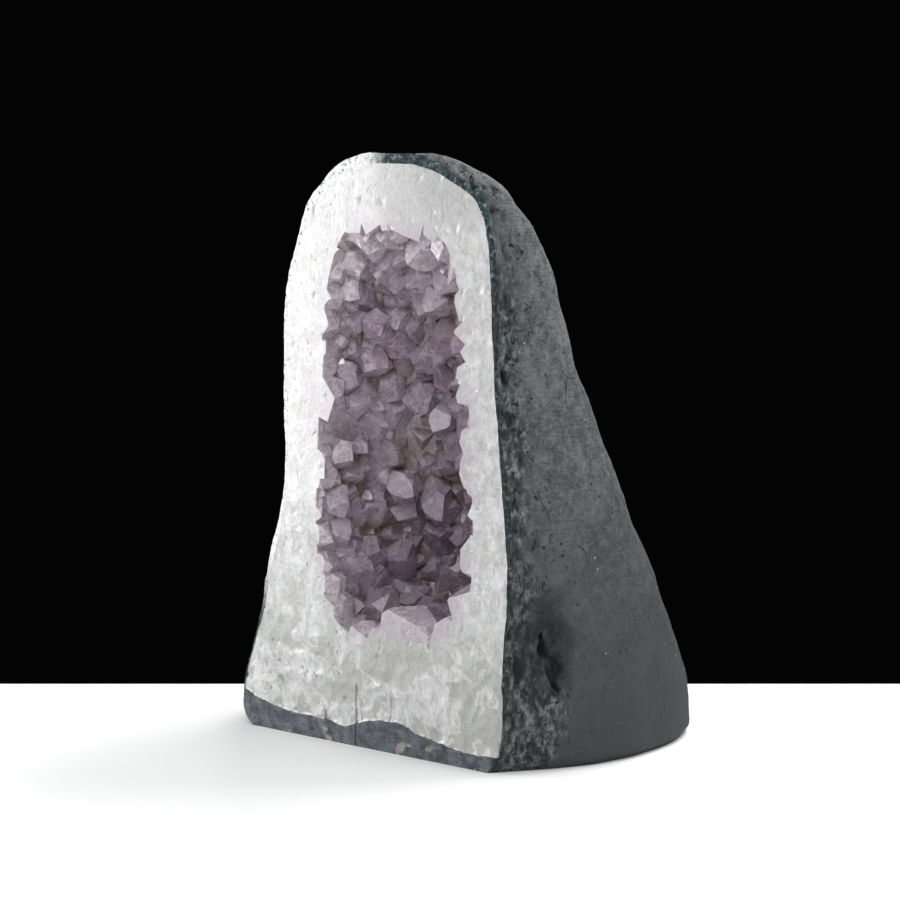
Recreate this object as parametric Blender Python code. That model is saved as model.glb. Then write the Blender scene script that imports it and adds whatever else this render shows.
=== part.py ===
"""Amethyst dome geode: half of a basalt nodule, sawn flat in front and under the foot.

Three pieces, nested from outside in. The rind is the dark stone coat with its thick foot. The quartz
layer is the white band that the front saw cut shows. The amethyst crust is the layer of crystal points
that lines the hollow. Metres, +Z up, the sawn face looks along -Y, and the origin lies under the middle
of the rind's bounding box, on the foot's underside.
"""

import math

import bmesh
import bpy
import numpy as np
from mathutils import Vector, noise

# Body of the nodule. The sawn face is the plane y = 0 while the pieces are made.
HEIGHT = 0.4035
# Height, reach of the sawn face to the left and to the right, swell of the flanks behind it, depth
STATIONS = (
    (0.0000, 0.1230, 0.1130, 0.034, 0.252),
    (0.0120, 0.1285, 0.1190, 0.030, 0.251),
    (0.0300, 0.1280, 0.1228, 0.0265, 0.248),
    (0.0600, 0.1190, 0.1228, 0.024, 0.239),
    (0.0850, 0.1085, 0.1248, 0.0225, 0.221),
    (0.1100, 0.1020, 0.1268, 0.0205, 0.203),
    (0.1500, 0.0905, 0.1272, 0.018, 0.173),
    (0.1800, 0.0855, 0.1245, 0.0165, 0.154),
    (0.2100, 0.0842, 0.1212, 0.015, 0.138),
    (0.2400, 0.0838, 0.1182, 0.014, 0.124),
    (0.2850, 0.0840, 0.1145, 0.012, 0.104),
    (0.3100, 0.0805, 0.1140, 0.011, 0.092),
    (0.3350, 0.0725, 0.1128, 0.0095, 0.076),
    (0.3580, 0.0658, 0.1100, 0.008, 0.057),
    (0.3720, 0.0590, 0.1050, 0.007, 0.046),
    (0.3840, 0.0463, 0.0960, 0.007, 0.040),
    (0.3940, 0.0330, 0.0755, 0.007, 0.035),
    (0.4000, 0.0160, 0.0600, 0.006, 0.029),
    (0.4035, -0.0100, 0.0420, 0.005, 0.021),
)
WIDEST_SHARE = 0.40  # where a section is widest, as a share of its depth
FLANK_SWEEP = 0.5  # part of a section's sweep, in radians, that each flank gets in front of that line
BACK_SQUARENESS = 2.1  # superellipse exponent of a section's back
FOOT_FILLET = 0.006
FOOT_TUCK = 0.0036  # how far the fillet draws the foot's underside in
LUMP_SIZE = 0.075
LUMP_HEIGHT = 0.0035
KNOB_SIZE = 0.028
KNOB_HEIGHT = 0.0015
NOISE_SHIFTS = ((0.0, 0.0, 0.0), (31.7, 5.3, 17.9), (41.9, 8.8, 66.6))  # one part of the noise per axis
FLAT_MARGIN = 0.020  # lumps fade out over this distance from a sawn plane

# Scar low on the right flank, where the coat has broken away beside the face
SCAR_MIDDLE = (0.136, 0.026, 0.080)
SCAR_REACH = (0.030, 0.028, 0.055)
SCAR_DEPTH = 0.007

# Rind
RIND_LEFT = 0.0025
RIND_RIGHT = 0.003
RIND_TOP = 0.007
RIND_BACK = 0.013
# Upper edge of the foot along the sawn face: place from left to right, height
FOOT_LINE = (
    (-0.135, 0.030),
    (-0.117, 0.022),
    (-0.100, 0.0183),
    (-0.075, 0.0150),
    (-0.049, 0.0146),
    (-0.020, 0.0135),
    (-0.006, 0.0185),
    (0.010, 0.0210),
    (0.030, 0.0210),
    (0.042, 0.0167),
    (0.060, 0.0145),
    (0.082, 0.0108),
    (0.125, 0.0120),
)
FOOT_BLOCK_REACH = 0.25
FOOT_BLOCK_STEPS = 36

# Hollow: the wall that the crystals grow from
HOLLOW_MIDDLE_X = 0.021
HOLLOW_LOW = 0.068
HOLLOW_HIGH = 0.367
HOLLOW_HALF_WIDTH = 0.077
HOLLOW_WIDER_LOW = 0.008
HOLLOW_SQUARENESS = 2.9
HOLLOW_DEPTH_SHARE = 0.70  # of the body's depth at the same height
HOLLOW_BACK_ROUNDNESS = 0.76

# Crystals
CRUST_FLOOR = 0.006  # solid quartz under the points
CRUST_PROUD = 0.001  # the bowl starts this much too big, and the wall trims it
CRYSTAL_SPACING = 0.0215
CRYSTAL_TRIES = 9000
RIM_START = -0.05  # some points, in radians of the sweep inward, root in front of the saw cut
CRYSTAL_SEED = 11
TIP_HEIGHTS = (0.013, 0.025)
RADIUS_SHARES = (0.54, 0.74)  # of the spacing
TIP_ANGLE = math.radians(51.8)  # slope of a quartz point's faces
LARGE_FACE_SHIFTS = (-0.16, 0.0)  # three of the six faces cut deeper than the others
SMALL_FACE_SHIFTS = (-0.05, 0.12)
LEAN = 0.17  # how far an axis strays from the wall's normal
ROOT_DEPTH = 0.003
GROUP_CLEARANCE = 0.001
# Large points along the rim: turn round the opening, depth behind the face, tip height, radius
LARGE_POINTS = (
    (math.radians(-98), 0.010, 0.030, 0.0165),
    (math.radians(-70), 0.006, 0.026, 0.0130),
    (math.radians(-44), 0.012, 0.031, 0.0120),
    (math.radians(-22), 0.005, 0.026, 0.0100),
    (math.radians(-128), 0.008, 0.027, 0.0120),
    (math.radians(62), 0.006, 0.027, 0.0110),
    (math.radians(104), 0.008, 0.026, 0.0105),
)

GAP = 0.0003  # between touching pieces
CUT_PROUD = 0.012  # cutters stand this far out of the sawn face
CRUST_CUT_PROUD = 0.005

BODY_RINGS = 19
BODY_AROUND = 34
QUARTZ_RINGS = 15
QUARTZ_AROUND = 26
WALL_AROUND = 30
WALL_RINGS = 8
NORMAL_STEP = 0.001
POLE_MARGIN = 0.02  # normals are taken at least this far, in radians, from the rim and the pole

# Colours: base colour, roughness
RIND_LOOK = ((0.105, 0.113, 0.118), 0.82)
QUARTZ_LOOK = ((0.80, 0.80, 0.78), 0.38)
AMETHYST_LOOK = ((0.31, 0.22, 0.33), 0.20)


def clear_scene():
    for old in list(bpy.data.objects):
        bpy.data.objects.remove(old)


def smooth_through(rows, at):
    """The row of values at a height, on a smooth curve through the table's rows."""
    table = np.array(rows)
    places, values = table[:, 0], table[:, 1:]
    slopes = np.gradient(values, places, axis=0)
    at = min(max(at, places[0]), places[-1])
    i = min(max(np.searchsorted(places, at) - 1, 0), len(places) - 2)
    span = places[i + 1] - places[i]
    t = (at - places[i]) / span
    start, end = values[i], values[i + 1]
    return (
        (2 * t**3 - 3 * t**2 + 1) * start
        + (t**3 - 2 * t**2 + t) * span * slopes[i]
        + (3 * t**2 - 2 * t**3) * end
        + (t**3 - t**2) * span * slopes[i + 1]
    )


def fade(distance, margin):
    """0 at a sawn plane, 1 from the margin on."""
    t = min(max(distance / margin, 0.0), 1.0)
    return t * t * (3 - 2 * t)


def drift(point, size):
    """Three smooth random values between -1 and 1 at a point."""
    return Vector([noise.noise(point / size + Vector(shift)) for shift in NOISE_SHIFTS])


def lumps(point):
    """How far the stone's uneven skin moves a point. The sawn planes stay flat."""
    move = drift(point, LUMP_SIZE) * LUMP_HEIGHT + drift(point, KNOB_SIZE) * KNOB_HEIGHT
    move.y *= fade(point.y, FLAT_MARGIN)
    move.z *= fade(point.z, FLAT_MARGIN)
    return move


def scar(point):
    """How far the scar presses a point in, towards the body's middle."""
    away = math.sqrt(
        sum(((p - m) / r) ** 2 for p, m, r in zip(point, SCAR_MIDDLE, SCAR_REACH))
    )
    return Vector((-SCAR_DEPTH * (1 - fade(away, 1.0)), 0, 0))


def section(height, around, left_in=0.0, right_in=0.0, back_in=0.0, front=0.0):
    """Outline of the body at a height, from the face's right edge round the back to its left edge."""
    left, right, swell, depth = smooth_through(STATIONS, height)
    left, right, depth = left - left_in, right - right_in, depth - back_in
    widest = WIDEST_SHARE * depth
    middle, half = (right - left) / 2, (right + left) / 2
    outline = []
    for t in np.linspace(-FLANK_SWEEP, math.pi + FLANK_SWEEP, around):
        beyond = abs(t - math.pi / 2) - math.pi / 2
        side = 1 if t < math.pi / 2 else -1
        if beyond > 0:
            forward = beyond / FLANK_SWEEP
            outline.append((middle + side * (half + swell * (1 - forward**2)), widest * (1 - forward)))
        else:
            c, s = abs(math.cos(t)), math.sin(t)
            outline.append(
                (
                    middle + side * (half + swell) * c ** (2 / BACK_SQUARENESS),
                    widest + (depth - widest) * s ** (2 / BACK_SQUARENESS),
                )
            )
    first, last = outline[0], outline[-1]
    if front:
        outline = [(first[0], front), *outline, (last[0], front)]
    return outline


def ring_heights(low, high, rings):
    """Heights of the rings, close together near the crown, where the dome turns over."""
    return [low + (high - low) * math.sin(math.pi / 2 * i / (rings - 1)) for i in range(rings)]


def add_pair(bm, a, b, c, d):
    """Two triangles for four corners, always split the same way, so that nested surfaces keep apart."""
    bm.faces.new((a, b, c))
    bm.faces.new((a, c, d))


def stacked_rings(name, rings):
    """A closed mesh through rings of equal length, whose ends make the sawn face."""
    bm = bmesh.new()
    levels = [[bm.verts.new(p) for p in ring] for ring in rings]
    for lower, upper in zip(levels, levels[1:]):
        for i in range(len(lower) - 1):
            add_pair(bm, lower[i], lower[i + 1], upper[i + 1], upper[i])
    for level in (levels[0], levels[-1]):
        behind = [v.co for v in level if v.co.y >= 0]
        middle = bm.verts.new(sum(behind, Vector()) / len(behind))
        for here, after in zip(level, level[1:] + level[:1]):
            bm.faces.new((here, after, middle))
    rising = [level[0] for level in levels]
    falling = [level[-1] for level in reversed(levels)]
    bm.faces.new(rising + falling)
    return finished(name, bm)


def finished(name, bm):
    """The mesh as an object, with its faces pointing out."""
    bmesh.ops.recalc_face_normals(bm, faces=bm.faces)
    mesh = bpy.data.meshes.new(name)
    bm.to_mesh(mesh)
    bm.free()
    made = bpy.data.objects.new(name, mesh)
    bpy.context.scene.collection.objects.link(made)
    return made


def as_cutter(made):
    made.hide_render = True
    made.display_type = "WIRE"
    return made


def boolean(target, other, operation, solver="EXACT"):
    modifier = target.modifiers.new(operation.lower(), "BOOLEAN")
    modifier.operation = operation
    modifier.solver = solver
    modifier.object = other


def body():
    """The whole nodule's outside, with a small fillet round the foot."""
    heights = [0.0, FOOT_FILLET, *ring_heights(0.0, HEIGHT, BODY_RINGS)[1:]]
    rings = []
    for height in heights:
        tucked = FOOT_TUCK * (1 - fade(height, FOOT_FILLET))
        ring = [Vector((x, y, height)) for x, y in section(height, BODY_AROUND, tucked, tucked, tucked)]
        rings.append([p + lumps(p) + scar(p) for p in ring])
    return stacked_rings("rind", rings)


def foot_block(name, lowered):
    """All that lies below the foot's wavy upper edge, a little wider than the body."""
    reach, back = FOOT_BLOCK_REACH, 2 * FOOT_BLOCK_REACH
    across = np.linspace(-reach, reach, FOOT_BLOCK_STEPS)
    edge = [(x, float(smooth_through(FOOT_LINE, x)[0]) - lowered) for x in across]
    outline = [*edge, (reach, -reach), (-reach, -reach)]
    bm = bmesh.new()
    near, far = ([bm.verts.new((x, y, z)) for x, z in outline] for y in (-reach, back))
    for i in range(len(outline)):
        j = (i + 1) % len(outline)
        bm.faces.new((near[i], near[j], far[j], far[i]))
    bm.faces.new(near)
    bm.faces.new(far)
    return as_cutter(finished(name, bm))


def quartz_body(name, grown=0.0, front=0.0):
    """The quartz layer's outside: the nodule less its rind, standing on the foot's wavy top."""
    high = HEIGHT - RIND_TOP + grown
    rings = []
    for height in ring_heights(0.0, high, QUARTZ_RINGS):
        outline = section(
            height / high * HEIGHT,
            QUARTZ_AROUND,
            RIND_LEFT - grown,
            RIND_RIGHT - grown,
            RIND_BACK - grown,
            front,
        )
        ring = [Vector((x, y, height)) for x, y in outline]
        rings.append([p + lumps(p) + scar(p) if p.y > 0 else p for p in ring])
    made = stacked_rings(name, rings)
    boolean(made, foot_block(f"{name}_foot", grown), "DIFFERENCE")
    return made


def wall_point(angle, inward, offset=0.0):
    """A point of the hollow's wall. The angle goes round the opening and inward from rim to back."""
    middle_z = (HOLLOW_LOW + HOLLOW_HIGH) / 2
    half_height = (HOLLOW_HIGH - HOLLOW_LOW) / 2 + offset
    c, s = math.cos(angle), math.sin(angle)
    power = 2 / HOLLOW_SQUARENESS
    across = math.copysign(abs(c) ** power, c)
    upward = math.copysign(abs(s) ** power, s)
    ring = max(math.cos(inward), 0.0) ** HOLLOW_BACK_ROUNDNESS
    z = middle_z + half_height * upward * ring
    half_width = HOLLOW_HALF_WIDTH - HOLLOW_WIDER_LOW * upward * ring + offset
    depth = smooth_through(STATIONS, z)[3] * HOLLOW_DEPTH_SHARE + offset
    y = math.copysign(depth * abs(math.sin(inward)) ** HOLLOW_BACK_ROUNDNESS, inward)
    return Vector((HOLLOW_MIDDLE_X + half_width * across * ring, y, z))


def wall_normal(angle, inward):
    """Direction from the wall into the hollow."""
    inward = min(max(inward, POLE_MARGIN), math.pi / 2 - POLE_MARGIN)
    along = wall_point(angle + NORMAL_STEP, inward) - wall_point(angle - NORMAL_STEP, inward)
    back = wall_point(angle, inward + NORMAL_STEP) - wall_point(angle, inward - NORMAL_STEP)
    normal = along.cross(back).normalized()
    inside = Vector((HOLLOW_MIDDLE_X, 0.0, (HOLLOW_LOW + HOLLOW_HIGH) / 2))
    return normal if normal.dot(inside - wall_point(angle, inward)) > 0 else -normal


def hollow_body(name, offset=0.0, front=0.0):
    """The hollow as a closed solid, from the front plane or a little before it to the back."""
    bm = bmesh.new()
    angles = [2 * math.pi * i / WALL_AROUND for i in range(WALL_AROUND)]
    rings = []
    if front:
        rim = [wall_point(a, 0, offset) for a in angles]
        rings.append([bm.verts.new((p.x, front, p.z)) for p in rim])
    for i in range(WALL_RINGS):
        inward = math.pi / 2 * i / WALL_RINGS
        rings.append([bm.verts.new(wall_point(a, inward, offset)) for a in angles])
    for near, far in zip(rings, rings[1:]):
        for i in range(WALL_AROUND):
            j = (i + 1) % WALL_AROUND
            add_pair(bm, near[i], near[j], far[j], far[i])
    pole = bm.verts.new(wall_point(0, math.pi / 2, offset))
    for i in range(WALL_AROUND):
        bm.faces.new((rings[-1][i], rings[-1][(i + 1) % WALL_AROUND], pole))
    bm.faces.new(rings[0])
    return finished(name, bm)


def large_crystals(rng):
    """The large points along the rim."""
    made = []
    for angle, depth, tip_height, radius in LARGE_POINTS:
        full = wall_point(angle, math.pi / 4).y / math.sin(math.pi / 4) ** HOLLOW_BACK_ROUNDNESS
        inward = math.asin((depth / full) ** (1 / HOLLOW_BACK_ROUNDNESS))
        root, normal = wall_point(angle, inward), wall_normal(angle, inward)
        made.append(crystal(root, normal, rng, tip_height, radius))
    return made


def small_crystals(rng, large):
    """Points that cover the rest of the wall, no two of them closer than the spacing."""
    roots, made = [], []
    for _ in range(CRYSTAL_TRIES):
        angle, inward = rng.uniform(0, 2 * math.pi), rng.uniform(RIM_START, math.pi / 2)
        root = wall_point(angle, inward)
        clear = all((root - other).length > CRYSTAL_SPACING for other in roots)
        if clear and all((root - other).length > reach for _, other, _, reach in large):
            roots.append(root)
            tip_height = rng.uniform(*TIP_HEIGHTS)
            radius = CRYSTAL_SPACING * rng.uniform(*RADIUS_SHARES)
            made.append(crystal(root, wall_normal(angle, inward), rng, tip_height, radius))
    return made


def crystal(root, normal, rng, tip_height, radius):
    """One quartz point: a six-sided prism cut by six sloping faces of uneven size."""
    axis = (normal + LEAN * Vector(rng.normal(0, 1, 3))).normalized()
    across = axis.orthogonal().normalized()
    beside = axis.cross(across)
    base = root - axis * ROOT_DEPTH
    tip = root + axis * tip_height
    turn = rng.uniform(0, math.pi / 3)
    sides = [turn + math.pi / 3 * k for k in range(6)]
    outward = [across * math.cos(a) + beside * math.sin(a) for a in sides]
    bm = bmesh.new()
    corner = radius / math.cos(math.pi / 6)
    corners = [across * math.cos(a + math.pi / 6) + beside * math.sin(a + math.pi / 6) for a in sides]
    low = [bm.verts.new(base + c * corner) for c in corners]
    high = [bm.verts.new(tip + c * corner) for c in corners]
    for k in range(6):
        j = (k + 1) % 6
        bm.faces.new((low[k], low[j], high[j], high[k]))
    bm.faces.new(high)
    bm.faces.new(reversed(low))
    for k, out in enumerate(outward):
        face_normal = out * math.sin(TIP_ANGLE) + axis * math.cos(TIP_ANGLE)
        shift = rng.uniform(*(LARGE_FACE_SHIFTS if k % 2 else SMALL_FACE_SHIFTS))
        cut = bmesh.ops.bisect_plane(
            bm,
            geom=bm.verts[:] + bm.edges[:] + bm.faces[:],
            plane_co=tip + face_normal * radius * shift,
            plane_no=face_normal,
            clear_outer=True,
        )
        edges = [e for e in cut["geom_cut"] if isinstance(e, bmesh.types.BMEdge)]
        if len(edges) > 2:
            bmesh.ops.contextual_create(bm, geom=edges)
    return bm, root, tip, corner


def spread_groups(crystals):
    """Sorts crystals into groups in which none touches another, so that each group is a clean solid."""
    groups = []
    for bm, root, tip, reach in crystals:
        spots = [root, root.lerp(tip, 0.5), tip]
        for group in groups:
            apart = all(
                (a - b).length > reach + other_reach + GROUP_CLEARANCE
                for _, other_spots, other_reach in group
                for a in spots
                for b in other_spots
            )
            if apart:
                break
        else:
            group = []
            groups.append(group)
        group.append((bm, spots, reach))
    return groups


def joined(name, meshes):
    """Several bmeshes in one cutter object."""
    whole = bmesh.new()
    for bm in meshes:
        piece = bpy.data.meshes.new("point")
        bm.to_mesh(piece)
        bm.free()
        whole.from_mesh(piece)
        bpy.data.meshes.remove(piece)
    return as_cutter(finished(name, whole))


def amethyst_crust():
    """The crystal layer: a thin bowl with points fused to it, trimmed by the wall and the saw cut."""
    crust = hollow_body("amethyst_crust", CRUST_PROUD, -CRUST_CUT_PROUD)
    inside = as_cutter(hollow_body("crust_floor", -CRUST_FLOOR, -CUT_PROUD))
    boolean(crust, inside, "DIFFERENCE", "MANIFOLD")
    rng = np.random.default_rng(CRYSTAL_SEED)
    large = large_crystals(rng)
    small = small_crystals(rng, large)
    for number, group in enumerate(spread_groups(large + small)):
        points = joined(f"points_{number}", [bm for bm, _, _ in group])
        boolean(crust, points, "UNION", "MANIFOLD")
    boolean(crust, as_cutter(hollow_body("crust_wall")), "INTERSECT", "MANIFOLD")
    return crust


def rind():
    made = body()
    boolean(made, as_cutter(quartz_body("rind_hollow", GAP, -CUT_PROUD)), "DIFFERENCE")
    return made


def quartz_layer():
    made = quartz_body("quartz_layer")
    boolean(made, as_cutter(hollow_body("quartz_hollow", GAP, -CUT_PROUD)), "DIFFERENCE")
    return made


def give_material(made, colour, roughness):
    material = bpy.data.materials.new(made.name)
    material.use_nodes = True
    shader = material.node_tree.nodes["Principled BSDF"]
    shader.inputs["Base Color"].default_value = (*colour, 1.0)
    shader.inputs["Roughness"].default_value = roughness
    shader.inputs["Metallic"].default_value = 0.0
    made.data.materials.append(material)


def centre_on_foot(pieces, outside):
    """Hangs every piece on one empty, which puts the origin under the middle of the outside."""
    corners = np.array([v.co for v in outside.data.vertices])
    middle = (corners.min(axis=0) + corners.max(axis=0)) / 2
    stand = bpy.data.objects.new("geode", None)
    bpy.context.scene.collection.objects.link(stand)
    for piece in pieces:
        piece.parent = stand
    stand.location = (-middle[0], -middle[1], -corners[:, 2].min())


def main():
    clear_scene()
    stone, quartz, crust = rind(), quartz_layer(), amethyst_crust()
    give_material(stone, *RIND_LOOK)
    give_material(quartz, *QUARTZ_LOOK)
    give_material(crust, *AMETHYST_LOOK)
    centre_on_foot(list(bpy.data.objects), stone)


main()
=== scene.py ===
"""Amethyst dome geode: the looks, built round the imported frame.

Three pieces stand for the three solids. The coat is the dark stone skin and foot, the quartz band is
the white layer that the saw cut shows, and the crystal lining is the crust of amethyst points in the
hollow. Metres, +Z up. Shapes are made with the sawn face in the plane y = 0 and then moved by SHIFT.
"""

import math

import bmesh
import bpy
import numpy as np
from mathutils import Matrix, Vector, kdtree, noise


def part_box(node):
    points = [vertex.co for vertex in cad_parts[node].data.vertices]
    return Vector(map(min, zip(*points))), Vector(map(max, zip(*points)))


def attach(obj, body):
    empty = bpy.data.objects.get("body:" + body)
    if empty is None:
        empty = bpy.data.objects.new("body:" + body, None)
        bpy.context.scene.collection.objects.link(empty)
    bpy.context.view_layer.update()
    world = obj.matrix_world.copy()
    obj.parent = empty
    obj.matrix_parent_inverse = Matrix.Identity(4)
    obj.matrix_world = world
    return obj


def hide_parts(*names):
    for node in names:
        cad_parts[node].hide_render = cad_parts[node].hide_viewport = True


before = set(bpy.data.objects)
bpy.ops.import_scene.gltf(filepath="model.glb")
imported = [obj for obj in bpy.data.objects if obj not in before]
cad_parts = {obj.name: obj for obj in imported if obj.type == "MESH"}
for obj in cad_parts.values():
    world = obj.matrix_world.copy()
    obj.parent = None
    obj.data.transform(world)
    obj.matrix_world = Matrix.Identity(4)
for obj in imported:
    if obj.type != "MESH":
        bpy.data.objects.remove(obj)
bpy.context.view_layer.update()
FACE_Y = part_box("rind")[0][1]
SHIFT = Vector((0.0027, FACE_Y, 0.0))

# Body of the nodule
HEIGHT = 0.4035
# Height, reach of the sawn face to the left and to the right, swell of the flanks behind it, depth
STATIONS = (
    (0.0000, 0.1230, 0.1130, 0.034, 0.252),
    (0.0120, 0.1285, 0.1190, 0.030, 0.251),
    (0.0300, 0.1280, 0.1228, 0.0265, 0.248),
    (0.0600, 0.1190, 0.1228, 0.024, 0.239),
    (0.0850, 0.1085, 0.1248, 0.0225, 0.221),
    (0.1100, 0.1020, 0.1268, 0.0205, 0.203),
    (0.1500, 0.0905, 0.1272, 0.018, 0.173),
    (0.1800, 0.0855, 0.1245, 0.0165, 0.154),
    (0.2100, 0.0842, 0.1212, 0.015, 0.138),
    (0.2400, 0.0838, 0.1182, 0.014, 0.124),
    (0.2850, 0.0840, 0.1145, 0.012, 0.104),
    (0.3100, 0.0805, 0.1140, 0.011, 0.092),
    (0.3350, 0.0725, 0.1128, 0.0095, 0.076),
    (0.3580, 0.0658, 0.1100, 0.008, 0.057),
    (0.3720, 0.0590, 0.1050, 0.007, 0.046),
    (0.3840, 0.0463, 0.0960, 0.007, 0.040),
    (0.3940, 0.0330, 0.0755, 0.007, 0.035),
    (0.4000, 0.0160, 0.0600, 0.006, 0.029),
    (0.4035, -0.0100, 0.0420, 0.005, 0.021),
)
WIDEST_SHARE = 0.40
FLANK_SWEEP = 0.5
BACK_SQUARENESS = 2.1
FOOT_FILLET = 0.006
FOOT_TUCK = 0.0036
LUMP_SIZE = 0.075
LUMP_HEIGHT = 0.0035
KNOB_SIZE = 0.028
KNOB_HEIGHT = 0.0015
NOISE_SHIFTS = ((0.0, 0.0, 0.0), (31.7, 5.3, 17.9), (41.9, 8.8, 66.6))
FLAT_MARGIN = 0.020
SCAR_MIDDLE = (0.136, 0.026, 0.080)
SCAR_REACH = (0.030, 0.028, 0.055)
SCAR_DEPTH = 0.007
# The deep crescent behind the scar: place along the flank, height, half width there
CRESCENT = (
    (0.0262, 0.0926, 0.0010),
    (0.0310, 0.0800, 0.0030),
    (0.0345, 0.0690, 0.0038),
    (0.0385, 0.0505, 0.0012),
)
CRESCENT_DRIFT = 0.0045
# Thickness of the coat, and how much more it has a little behind the face, under its pits and scar
RIND_LEFT = 0.0025
RIND_RIGHT = 0.003
RIND_TOP = 0.007
RIND_BACK = 0.013
COAT_THICKER = 0.009
# Upper edge of the foot along the sawn face: place from left to right, height
FOOT_LINE = (
    (-0.135, 0.030),
    (-0.117, 0.022),
    (-0.100, 0.0183),
    (-0.075, 0.0150),
    (-0.049, 0.0146),
    (-0.020, 0.0135),
    (-0.006, 0.0185),
    (0.010, 0.0210),
    (0.030, 0.0210),
    (0.042, 0.0167),
    (0.060, 0.0145),
    (0.082, 0.0108),
    (0.125, 0.0120),
)
# Small bumps on that edge and on the coat's inner edge: size, row of the noise, height
FOOT_RIPPLES = ((0.011, 3.1, 0.0010), (0.0035, 8.4, 0.0007))
COAT_RIPPLES = ((0.020, 1.7, 0.0012), (0.006, 5.2, 0.0006))
SPIKE_PLACE = -0.0445
SPIKE_HALF = 0.0022
SPIKE_HEIGHT = 0.0045
FOOT_BLOCK_REACH = 0.25
FOOT_BLOCK_STEPS = 320
# Rows and columns of the meshes
COAT_RINGS = 215
COAT_FOOT_RINGS = 5
FLANK_COLUMNS = 88
BACK_COLUMNS = 150
LEFT_COLUMNS = 36
QUARTZ_RINGS = 130
QUARTZ_AROUND = 60
SMOOTH_ANGLE = math.radians(50)  # sharper edges stay sharp in the shading

# Hollow
HOLLOW_MIDDLE_X = 0.021
HOLLOW_LOW = 0.068
HOLLOW_HIGH = 0.367
HOLLOW_MIDDLE_Z = (HOLLOW_LOW + HOLLOW_HIGH) / 2
HOLLOW_HALF_HEIGHT = (HOLLOW_HIGH - HOLLOW_LOW) / 2
HOLLOW_HALF_WIDTH = 0.077
HOLLOW_WIDER_LOW = 0.008
HOLLOW_SQUARENESS = 3.8
HOLLOW_DEPTH_SHARE = 0.70
HOLLOW_BACK_ROUNDNESS = 0.76
WALL_AROUND = 110
WALL_RINGS = 26
NORMAL_STEP = 0.001
POLE_MARGIN = 0.02

# Crystals
CRUST_FLOOR = 0.006
CRUST_PROUD = 0.001
CRYSTAL_SEED = 23
CRYSTAL_TRIES = 16000
# Radius range, and how many of the tries each size gets
CRYSTAL_SIZES = ((0.0100, 0.0135, 0.08), (0.0070, 0.0100, 0.30), (0.0040, 0.0070, 0.62))
CRYSTAL_PACKING = 0.70  # least distance between roots, as a share of both radii
RIM_START = 0.02
POINT_FOOT = 0.004  # height of a point over the wall, apart from what its radius adds
POINT_HEIGHTS = (1.15, 2.25)
PRISM_EVENNESS = (0.86, 1.12)  # how far out the six sides stand, as a share of the radius
TIP_ANGLE = math.radians(51.8)
# How far the sloping faces stand out or in, as a share of the radius
LARGE_FACE_SHIFTS = (-0.32, 0.0)
SMALL_FACE_SHIFTS = (-0.08, 0.24)
LEAN = 0.24  # how much the points lean away from the wall's normal
ROOT_DEPTH = 0.003
GROUP_CLEARANCE = 0.0005
SAWN_DEPTH = 0.0036  # the sawn face's unevenness stays within this depth
SAWN_WAY = -0.8  # and its faces look forward at least this much
EDGE_LIMIT = 0.0045  # facets are divided down to this, so that colour can change across them
EDGE_ROUNDS = 5
NEAR_SPOTS = 14  # how many spots are tried to find the crystal that a facet belongs to
SAME_WAY = 0.999  # least cosine between a facet and its crystal's plane
SAME_PLANE = 0.00002  # largest distance between the two
CRYSTAL_TONE = 0.65  # share of a crystal's own tone in the tone of its facets
# Points of the wall from which the height of each vertex over it is taken
GAUGE_AROUND = 220
GAUGE_INWARD = 60
# Cut points along the rim
RIM_ANGLES = np.linspace(0, 2 * math.pi, 721)[:-1]
RIM_SPREAD = (0.85, 1.30)
RIM_TILT = 1.1  # how far aside a cut point's root may lie, as a share of its radius
BLUNTNESS = (0.4, 1.0)
BLUNT_RADIUS = 0.0145  # cut points wider than this show no sharp end
STEM_CUT_BELOW = 0.140  # under this height the saw meets the points' stems, so their cuts are blunt
STEM_BLUNTNESS = 1.5
STEM_BACK = 0.015  # how far those points stand back towards the wall
# Place and height of the tip on the face, radius
RIM_POINTS = (
    (-0.0249, 0.3456, 0.0120),
    (-0.0420, 0.3310, 0.0105),
    (-0.0445, 0.3023, 0.0120),
    (-0.0428, 0.2718, 0.0110),
    (-0.0459, 0.2480, 0.0115),
    (-0.0425, 0.2216, 0.0130),
    (-0.0413, 0.1981, 0.0115),
    (-0.0434, 0.1807, 0.0110),
    (-0.0460, 0.1560, 0.0115),
    (-0.0455, 0.1330, 0.0110),
    (-0.0435, 0.1120, 0.0120),
    (-0.0375, 0.0965, 0.0120),
    (-0.0225, 0.0860, 0.0135),
    (-0.0010, 0.0834, 0.0170),
    (0.0190, 0.0910, 0.0250),
    (0.0390, 0.0890, 0.0170),
    (0.0545, 0.0968, 0.0130),
    (0.0635, 0.0950, 0.0135),
    (0.0697, 0.1100, 0.0155),
    (0.0734, 0.1344, 0.0125),
    (0.0880, 0.1520, 0.0110),
    (0.0886, 0.1680, 0.0105),
    (0.0842, 0.1870, 0.0110),
    (0.0824, 0.2040, 0.0115),
    (0.0797, 0.2242, 0.0120),
    (0.0788, 0.2431, 0.0115),
    (0.0770, 0.2620, 0.0120),
    (0.0850, 0.2790, 0.0105),
    (0.0814, 0.2949, 0.0115),
    (0.0805, 0.3120, 0.0110),
    (0.0745, 0.3290, 0.0125),
    (0.0690, 0.3440, 0.0110),
    (0.0580, 0.3450, 0.0110),
    (0.0440, 0.3470, 0.0125),
    (0.0300, 0.3480, 0.0115),
    (0.0130, 0.3540, 0.0115),
    (-0.0040, 0.3500, 0.0115),
)

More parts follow.
